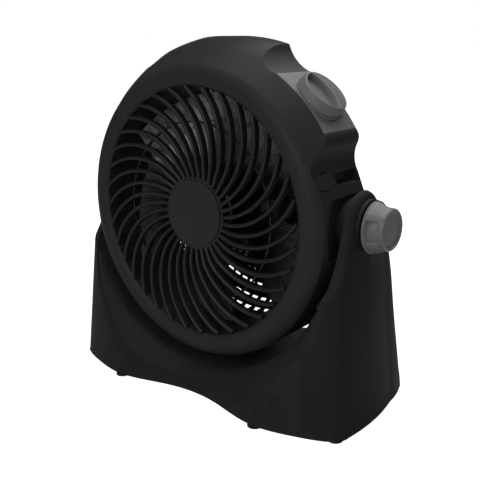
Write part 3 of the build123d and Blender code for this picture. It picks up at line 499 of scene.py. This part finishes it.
def makeRearBands():
    work = bmesh.new()
    for start, end in (map(Vector, span) for span in rearBands["spans"]):
        side = (end - start).normalized().orthogonal() * rearBands["thickness"] / 2
        addRing(work, (start + side, end + side, end - side, start - side))
    front, back = louvres["front"], louvres["back"]
    for index in range(louvres["count"]):
        radius = louvres["first"] + index * louvres["pitch"]
        low, high = radius - louvres["thickness"] / 2, radius + louvres["thickness"] / 2
        addRing(work, ((low, front), (high, front), (high, back), (low, back)))
    piece = shapeFrom(work, "rearBands")
    finish(piece, "head", materials["blackGrille"])


makeRearBands()
print("rear bands made")

# lock knobs: a turned grip with three finger recesses that run out at the dished cap
lockKnob = {
    "start": 163.85,  # from the head's middle
    "profile": (  # outward from the start, radius
        (0, 20.5), (1.5, 20.8), (1.6, 24.2), (1.9, 24.8), (2.6, 25.0), (3.4, 24.8), (3.8, 24.3),
        (5.4, 24.1), (7.6, 23.7), (10.0, 22.9), (12.4, 21.9), (14.8, 21.0), (17.0, 20.4), (18.6, 20.1),
        (19.6, 19.8), (20.4, 19.2), (20.9, 18.6), (21.1, 18.0), (20.9, 17.3), (19.7, 16.6), (19.3, 15.8),
        (19.2, 14.6), (19.4, 8.0), (19.5, 0.02),
    ),
    "steps": 240,
    "poleMerge": 0.03,  # what lies closer together is merged, at the cap's middle
    "recesses": (180, 300, 60),  # degrees round the knob, the first towards the front
    "recessHalf": 28.5,
    "recessRange": (4.2, 18.2),
    "recessDepth": 3.8,
    "wall": 2.2,  # degrees over which a recess's side wall rises
}


def makeLockKnob(side, node, body):
    work = bmesh.new()
    points = [
        headCentre + Vector((side * (lockKnob["start"] + outward), 0, radius)) * mm
        for outward, radius in lockKnob["profile"]
    ]
    spinProfile(work, points, (1, 0, 0), lockKnob["steps"])
    bmesh.ops.remove_doubles(work, verts=work.verts, dist=lockKnob["poleMerge"] * mm)
    low, high = lockKnob["recessRange"]
    for vert in work.verts:
        outward = abs(vert.co.x) / mm - lockKnob["start"]
        if not low < outward < high:
            continue
        arm = Vector((0, vert.co.y, vert.co.z - headCentre.z))
        angle = degrees(atan2(arm.z, arm.y)) % 360
        off = min(abs((angle - centre + 180) % 360 - 180) for centre in lockKnob["recesses"])
        inside = min(1, max(0, (lockKnob["recessHalf"] - off) / lockKnob["wall"]))
        fade = 1 - (outward - low) / (high - low)
        vert.co -= arm.normalized() * lockKnob["recessDepth"] * mm * inside * fade
    piece = shapeFrom(work, node + "Turned")
    finish(piece, body, materials["greySatin"])
    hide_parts(node)


makeLockKnob(-1, "left_knob", "left_lock_knob")
makeLockKnob(1, "right_knob", "right_lock_knob")
print("lock knobs made")

# speed knob: a low turned disc whose front half is a finger hollow with a bowed rear edge
speedKnob = {
    "angle": 46.1, "forward": 13.0, "base": 160.7,  # place round the head, ahead of its middle, out from it
    "side": (  # height, radius
        (0, 24.6), (0.3, 24.9), (2.0, 24.8), (5.0, 24.3), (7.4, 23.8), (8.6, 23.4), (9.3, 22.8), (9.6, 22.1),
    ),
    "shaped": 9.0,  # what lies above this height takes part in the hollow
    "topStep": 0.35, "topEnd": 0.6, "steps": 200,
    "rimInner": 21.3, "rimWall": 0.8,
    "hollowDepth": 5.1, "hollowWall": 0.8, "edgeBack": 6.0, "edgeBow": 7.6, "edgeReach": 20.2,
    "rearFall": 1.1, "rearLength": 15.0,
}


# height of the knob's top above its rim, at a place ahead of and across its axis
def knobTop(forward, across):
    edge = speedKnob["edgeBow"] * (across / speedKnob["edgeReach"]) ** 2 - speedKnob["edgeBack"]
    fromRim = speedKnob["rimInner"] - (forward**2 + across**2) ** 0.5
    inside = ease((forward - edge) / speedKnob["hollowWall"]) * ease(fromRim / speedKnob["rimWall"])
    fall = ease((edge - forward) / speedKnob["rearLength"]) * speedKnob["rearFall"]
    return -speedKnob["hollowDepth"] * inside - fall


def makeSpeedKnob():
    work = bmesh.new()
    profile = list(speedKnob["side"])
    height, radius = profile[-1]
    while radius > speedKnob["topEnd"]:
        radius -= speedKnob["topStep"]
        profile.append((height, radius))
    points = [Vector((radius, 0, height)) * mm for height, radius in profile]
    spinProfile(work, points, (0, 0, 1), speedKnob["steps"], centre=(0, 0, 0))
    bmesh.ops.holes_fill(work, edges=work.edges, sides=0)
    for vert in work.verts:
        if vert.co.z > speedKnob["shaped"] * mm:
            vert.co.z += knobTop(vert.co.x / mm, vert.co.y / mm) * mm
    angle = radians(speedKnob["angle"])
    outward = Vector((cos(angle), 0, sin(angle)))
    forward = -headAxis
    turn = Matrix((forward, outward.cross(forward), outward)).transposed().to_4x4()
    place = headCentre + outward * speedKnob["base"] * mm + forward * speedKnob["forward"] * mm
    bmesh.ops.transform(work, matrix=Matrix.Translation(place) @ turn, verts=work.verts)
    piece = shapeFrom(work, "speedKnobTurned")
    finish(piece, nodeBody["speed_knob"], materials["greyMatt"])
    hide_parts("speed_knob")


makeSpeedKnob()
print("speed knob made")

# cross-head screws: pan heads with a cross recess, at the tops of a node's screws
screwHead = {
    "profile": ((3.6, 0), (3.6, 0.55), (3.35, 0.9), (3.1, 1)),  # radius, share of the head's height
    "arm": 1.9, "slot": 0.55, "depth": 0.8, "floorScale": 0.8, "segments": 32,
    "reach": 7.9,  # points at the screws' tops that lie closer than this belong to one screw
    "merge": 0.01, "level": 0.02,
}


# one head on the origin, facing up
def addScrewHead(work, height):
    points = [Vector((radius, 0, height * share)) * mm for radius, share in screwHead["profile"]]
    spinProfile(work, points, (0, 0, 1), screwHead["segments"], centre=(0, 0, 0))
    brimLevel = (height - screwHead["merge"]) * mm
    brim = [edge for edge in work.edges if all(vert.co.z > brimLevel for vert in edge.verts)]
    arm, half = screwHead["arm"], screwHead["slot"]
    corners = [
        work.verts.new((Matrix.Rotation(quarter * pi / 2, 3, "Z") @ Vector((*corner, height))) * mm)
        for quarter in range(4) for corner in ((arm, -half), (arm, half), (half, half))
    ]
    outline = [work.edges.new((corners[i - 1], corners[i])) for i in range(len(corners))]
    sunk = bmesh.ops.extrude_edge_only(work, edges=outline)["geom"]
    floor = [item for item in sunk if isinstance(item, bmesh.types.BMVert)]
    scale = screwHead["floorScale"]
    bmesh.ops.scale(work, vec=(scale, scale, 1), verts=floor)
    bmesh.ops.translate(work, vec=(0, 0, -screwHead["depth"] * mm), verts=floor)
    sunkEdges = [item for item in sunk if isinstance(item, bmesh.types.BMEdge)]
    bmesh.ops.edgeloop_fill(work, edges=[edge for edge in sunkEdges if all(v in floor for v in edge.verts)])
    bmesh.ops.triangle_fill(work, edges=brim + outline, use_beauty=True)


# middles of the tops of a node's screws
def screwTops(node, direction):
    source = bmesh.new()
    source.from_mesh(frame["nodes"][node].data)
    bmesh.ops.remove_doubles(source, verts=source.verts, dist=screwHead["merge"] * mm)
    reach = max(vert.co.dot(direction) for vert in source.verts)
    groups = []
    for vert in source.verts:
        if reach - vert.co.dot(direction) >= screwHead["level"] * mm:
            continue
        near = [group for group in groups if (group[0] - vert.co).length < screwHead["reach"] * mm]
        if near:
            near[0].append(vert.co.copy())
        else:
            groups.append([vert.co.copy()])
    source.free()
    return [sum(group, Vector()) / len(group) for group in groups]


def makeScrews(node, facing, height):
    direction = Vector(facing)
    work = bmesh.new()
    addScrewHead(work, height)
    pattern = work.verts[:] + work.edges[:] + work.faces[:]
    tops = screwTops(node, direction)
    for top in tops:
        copy = bmesh.ops.duplicate(work, geom=pattern)["geom"]
        verts = [item for item in copy if isinstance(item, bmesh.types.BMVert)]
        spot = Matrix.Translation(top - direction * height * mm)
        turn = direction.to_track_quat("Z", "Y").to_matrix().to_4x4()
        bmesh.ops.transform(work, matrix=spot @ turn, verts=verts)
    firstVerts = [item for item in pattern if isinstance(item, bmesh.types.BMVert)]
    bmesh.ops.delete(work, geom=firstVerts, context="VERTS")
    piece = shapeFrom(work, node + "Heads")
    finish(piece, nodeBody[node], materials["zincSteel"])
    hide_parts(node)
    return len(tops)


print("housing screws:", makeScrews("housing_screws", (0, 1, 0), 2.0))
print("base screws:", makeScrews("base_screws", (0, 0, -1), 1.2))

# all other nodes keep their own meshes and get a material alone
remade = {
    "front_grille", "left_knob", "right_knob", "speed_knob", "housing_screws", "base_screws", *softEdges,
}
for node, piece in frame["nodes"].items():
    if node not in remade:
        piece.data.materials.clear()
        piece.data.materials.append(nodeMaterial(node))

# floor, background and light
studio = {
    "floorSize": 6.0, "floorDrop": 0.0005, "floorRoughness": 0.9,  # in metres
    "floorColor": (0.62, 0.62, 0.62, 1),
    "white": (1, 1, 1, 1),
    "ambient": 0.02,
    "lamps": {  # place, target, size and power
        "top": ((0.0, -0.1, 1.9), (0, 0, 0.2), 1.4, 13.0),
        "topBack": ((0.0, 1.0, 1.6), (0, 0, 0.3), 1.4, 9.5),
        "front": ((0.2, -2.0, 0.9), (0, 0, 0.2), 1.2, 11.0),
        "frontRight": ((1.3, -1.5, 0.9), (0, 0, 0.2), 1.2, 2.2),
    },
}


# pale floor that the camera sees as plain white
def makeFloor():
    work = bmesh.new()
    bmesh.ops.create_grid(work, x_segments=1, y_segments=1, size=studio["floorSize"])
    mesh = bpy.data.meshes.new("floor")
    work.to_mesh(mesh)
    work.free()
    plane = bpy.data.objects.new("floor", mesh)
    bpy.context.scene.collection.objects.link(plane)
    plane.location.z = -studio["floorDrop"]
    material, tree, shader = principled("paleFloor")
    shader.inputs["Base Color"].default_value = studio["floorColor"]
    shader.inputs["Roughness"].default_value = studio["floorRoughness"]
    shader.inputs["Emission Color"].default_value = studio["white"]
    rays = addNode(tree, "ShaderNodeLightPath", {})
    tree.links.new(rays.outputs["Is Camera Ray"], shader.inputs["Emission Strength"])
    plane.data.materials.append(material)


def makeWorld():
    world = bpy.data.worlds.new("studio")
    world.use_nodes = True
    bpy.context.scene.world = world
    tree = world.node_tree
    shade = tree.nodes["Background"]
    rays = addNode(tree, "ShaderNodeLightPath", {})
    shade.inputs["Color"].default_value = studio["white"]
    level = fit(tree, rays.outputs["Is Camera Ray"], toLow=studio["ambient"])
    tree.links.new(level, shade.inputs["Strength"])


def makeLamps():
    for name, (place, target, size, power) in studio["lamps"].items():
        data = bpy.data.lights.new(name, "AREA")
        data.shape = "SQUARE"
        data.size = size
        data.energy = power
        lamp = bpy.data.objects.new(name, data)
        bpy.context.scene.collection.objects.link(lamp)
        lamp.location = place
        lamp.rotation_euler = (Vector(target) - Vector(place)).to_track_quat("-Z", "Y").to_euler()


makeFloor()
makeWorld()
makeLamps()
print("studio made")
